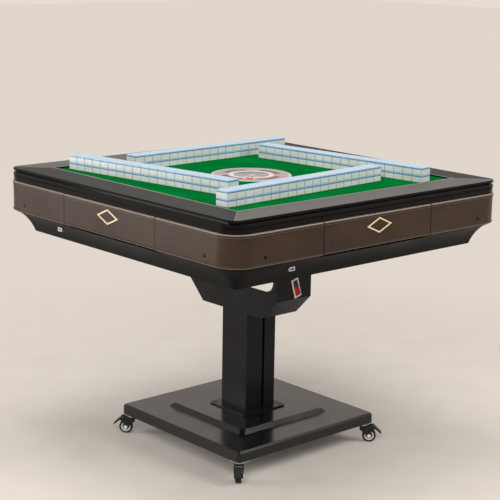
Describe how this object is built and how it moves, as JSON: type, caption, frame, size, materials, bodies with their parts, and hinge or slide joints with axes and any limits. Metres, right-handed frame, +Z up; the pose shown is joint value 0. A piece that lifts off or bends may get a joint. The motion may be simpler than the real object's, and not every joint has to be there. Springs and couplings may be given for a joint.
{
  "type": "automatic mahjong table",
  "caption": "Square mahjong table on one column with casters: felt top with tile walls and lifts, rising centre panel, shuffling drum, drawers in the skirt and a power switch.",
  "frame": {"origin": "on the floor, under the middle of the column", "axes": "+Z up; -Y is the side with the power switch, -X the side to its left seen from above"},
  "size_m": [0.96, 0.96, 0.79],
  "materials": {
    "caster_steel": "zinc plated, satin",
    "caster_black": "moulded, matt",
    "tyre": "matt black tread on a pale centre",
    "stand_black": "black powder coat, satin",
    "bolt_steel": "zinc plated",
    "switch_white": "moulded, gloss",
    "switch_red": "moulded, gloss",
    "socket_black": "moulded, matt",
    "shell_grey": "moulded, gloss",
    "inner_steel": "galvanised sheet",
    "skirt_brown": "embossed leather-look covering",
    "tray_plastic": "moulded, matt",
    "frame_grey": "dark metallic grey, satin gloss",
    "board": "fibreboard",
    "felt": "short green pile",
    "lift_alloy": "satin",
    "tile": "ivory bodies with pale blue backs, polished",
    "panel": "satin moulding",
    "lens": "clear, polished",
    "button_red": "moulded, gloss",
    "bowl": "moulded, satin",
    "motor": "cast housing, painted"
  },
  "bodies": {
    "table": {"caster_plates": "caster_steel", "base_plate": "stand_black", "base_cover": "stand_black", "column_post": "stand_black", "column_covers": "stand_black", "yoke": "stand_black", "frame_bolts": "bolt_steel", "switch_bezel": "switch_white", "mains_inlet": "socket_black", "lower_shell": "shell_grey", "charging_ports": "socket_black", "chassis": "inner_steel", "skirt_screws": "bolt_steel", "playing_board": "board", "felt_cloth": "felt", "lift_guides": "bolt_steel", "drum_motor": "motor", "drum_bowl": "bowl", "control_box": "inner_steel", "skirt_corner_front_left": "skirt_brown", "skirt_corner_front_right": "skirt_brown", "skirt_corner_back_right": "skirt_brown", "skirt_corner_back_left": "skirt_brown", "frame_rail_front": "frame_grey", "frame_rail_right": "frame_grey", "frame_rail_back": "frame_grey", "frame_rail_left": "frame_grey"},
    "drawer_front": {"drawer_front_front": "skirt_brown", "drawer_tray_front": "tray_plastic"},
    "drawer_right": {"drawer_front_right": "skirt_brown", "drawer_tray_right": "tray_plastic"},
    "drawer_back": {"drawer_front_back": "skirt_brown", "drawer_tray_back": "tray_plastic"},
    "drawer_left": {"drawer_front_left": "skirt_brown", "drawer_tray_left": "tray_plastic"},
    "lift_front": {"lift_platform_front": "lift_alloy"},
    "lift_right": {"lift_platform_right": "lift_alloy"},
    "lift_back": {"lift_platform_back": "lift_alloy"},
    "lift_left": {"lift_platform_left": "lift_alloy"},
    "wall_front": {"tile_wall_front": "tile"},
    "wall_right": {"tile_wall_right": "tile"},
    "wall_back": {"tile_wall_back": "tile"},
    "wall_left": {"tile_wall_left": "tile"},
    "centre_panel": {"control_panel": "panel", "panel_lens": "lens"},
    "start_button": {"start_button": "button_red"},
    "rocker": {"switch_rocker": "switch_red"},
    "shuffler": {"shuffle_plate": "bowl"},
    "swivel_front_left": {"caster_fork_front_left": "caster_steel"},
    "wheel_front_left": {"caster_wheel_front_left": "tyre"},
    "pedal_front_left": {"caster_pedal_front_left": "caster_black"},
    "swivel_front_right": {"caster_fork_front_right": "caster_steel"},
    "wheel_front_right": {"caster_wheel_front_right": "tyre"},
    "pedal_front_right": {"caster_pedal_front_right": "caster_black"},
    "swivel_back_right": {"caster_fork_back_right": "caster_steel"},
    "wheel_back_right": {"caster_wheel_back_right": "tyre"},
    "pedal_back_right": {"caster_pedal_back_right": "caster_black"},
    "swivel_back_left": {"caster_fork_back_left": "caster_steel"},
    "wheel_back_left": {"caster_wheel_back_left": "tyre"},
    "pedal_back_left": {"caster_pedal_back_left": "caster_black"}
  },
  "joints": [
    {"name": "drawer_slide_front", "type": "slide", "parent": "table", "child": "drawer_front", "axis": [0, -1, 0], "range_m": [0, 0.11]},
    {"name": "drawer_slide_right", "type": "slide", "parent": "table", "child": "drawer_right", "axis": [1, 0, 0], "range_m": [0, 0.11]},
    {"name": "drawer_slide_back", "type": "slide", "parent": "table", "child": "drawer_back", "axis": [0, 1, 0], "range_m": [0, 0.11]},
    {"name": "drawer_slide_left", "type": "slide", "parent": "table", "child": "drawer_left", "axis": [-1, 0, 0], "range_m": [0, 0.11]},
    {"name": "lift_slide_front", "type": "slide", "parent": "table", "child": "lift_front", "axis": [0, 0, 1], "range_m": [-0.05, 0]},
    {"name": "lift_slide_right", "type": "slide", "parent": "table", "child": "lift_right", "axis": [0, 0, 1], "range_m": [-0.05, 0]},
    {"name": "lift_slide_back", "type": "slide", "parent": "table", "child": "lift_back", "axis": [0, 0, 1], "range_m": [-0.05, 0]},
    {"name": "lift_slide_left", "type": "slide", "parent": "table", "child": "lift_left", "axis": [0, 0, 1], "range_m": [-0.05, 0]},
    {"name": "wall_push_front", "type": "slide", "parent": "table", "child": "wall_front", "axis": [0, 1, 0], "range_m": [0, 0.03]},
    {"name": "wall_push_right", "type": "slide", "parent": "table", "child": "wall_right", "axis": [-1, 0, 0], "range_m": [0, 0.03]},
    {"name": "wall_push_back", "type": "slide", "parent": "table", "child": "wall_back", "axis": [0, -1, 0], "range_m": [0, 0.03]},
    {"name": "wall_push_left", "type": "slide", "parent": "table", "child": "wall_left", "axis": [1, 0, 0], "range_m": [0, 0.03]},
    {"name": "panel_rise", "type": "slide", "parent": "table", "child": "centre_panel", "axis": [0, 0, 1], "range_m": [0, 0.045]},
    {"name": "button_press", "type": "slide", "parent": "centre_panel", "child": "start_button", "axis": [0, 0, -1], "range_m": [0, 0.0015], "stiffness_N_per_m": 600, "springref_m": -0.0005},
    {"name": "rocker_tip", "type": "hinge", "parent": "table", "child": "rocker", "pos_m": [0.008, -0.1755, 0.468], "axis": [0.9613, 0, 0.2756], "range_deg": [0, 14]},
    {"name": "shuffle_spin", "type": "hinge", "parent": "table", "child": "shuffler", "pos_m": [0, 0, 0.632], "axis": [0, 0, 1], "continuous": true},
    {"name": "caster_swivel_front_left", "type": "hinge", "parent": "table", "child": "swivel_front_left", "pos_m": [-0.23, -0.23, 0.048], "axis": [0, 0, 1], "continuous": true},
    {"name": "caster_roll_front_left", "type": "hinge", "parent": "swivel_front_left", "child": "wheel_front_left", "pos_m": [-0.24273, -0.24273, 0.019], "axis": [0.7071, -0.7071, 0], "continuous": true},
    {"name": "pedal_press_front_left", "type": "hinge", "parent": "swivel_front_left", "child": "pedal_front_left", "pos_m": [-0.2498, -0.2498, 0.042], "axis": [0.7071, -0.7071, 0], "range_deg": [0, 18]},
    {"name": "caster_swivel_front_right", "type": "hinge", "parent": "table", "child": "swivel_front_right", "pos_m": [0.23, -0.23, 0.048], "axis": [0, 0, 1], "continuous": true},
    {"name": "caster_roll_front_right", "type": "hinge", "parent": "swivel_front_right", "child": "wheel_front_right", "pos_m": [0.24273, -0.24273, 0.019], "axis": [0.7071, 0.7071, 0], "continuous": true},
    {"name": "pedal_press_front_right", "type": "hinge", "parent": "swivel_front_right", "child": "pedal_front_right", "pos_m": [0.2498, -0.2498, 0.042], "axis": [0.7071, 0.7071, 0], "range_deg": [0, 18]},
    {"name": "caster_swivel_back_right", "type": "hinge", "parent": "table", "child": "swivel_back_right", "pos_m": [0.23, 0.23, 0.048], "axis": [0, 0, 1], "continuous": true},
    {"name": "caster_roll_back_right", "type": "hinge", "parent": "swivel_back_right", "child": "wheel_back_right", "pos_m": [0.24273, 0.24273, 0.019], "axis": [-0.7071, 0.7071, 0], "continuous": true},
    {"name": "pedal_press_back_right", "type": "hinge", "parent": "swivel_back_right", "child": "pedal_back_right", "pos_m": [0.2498, 0.2498, 0.042], "axis": [-0.7071, 0.7071, 0], "range_deg": [0, 18]},
    {"name": "caster_swivel_back_left", "type": "hinge", "parent": "table", "child": "swivel_back_left", "pos_m": [-0.23, 0.23, 0.048], "axis": [0, 0, 1], "continuous": true},
    {"name": "caster_roll_back_left", "type": "hinge", "parent": "swivel_back_left", "child": "wheel_back_left", "pos_m": [-0.24273, 0.24273, 0.019], "axis": [-0.7071, -0.7071, 0], "continuous": true},
    {"name": "pedal_press_back_left", "type": "hinge", "parent": "swivel_back_left", "child": "pedal_back_left", "pos_m": [-0.2498, 0.2498, 0.042], "axis": [-0.7071, -0.7071, 0], "range_deg": [0, 18]}
  ],
  "couplings": [
    {"joint": "lift_slide_right", "follows": "lift_slide_front", "ratio": 1},
    {"joint": "lift_slide_back", "follows": "lift_slide_front", "ratio": 1},
    {"joint": "lift_slide_left", "follows": "lift_slide_front", "ratio": 1}
  ]
}
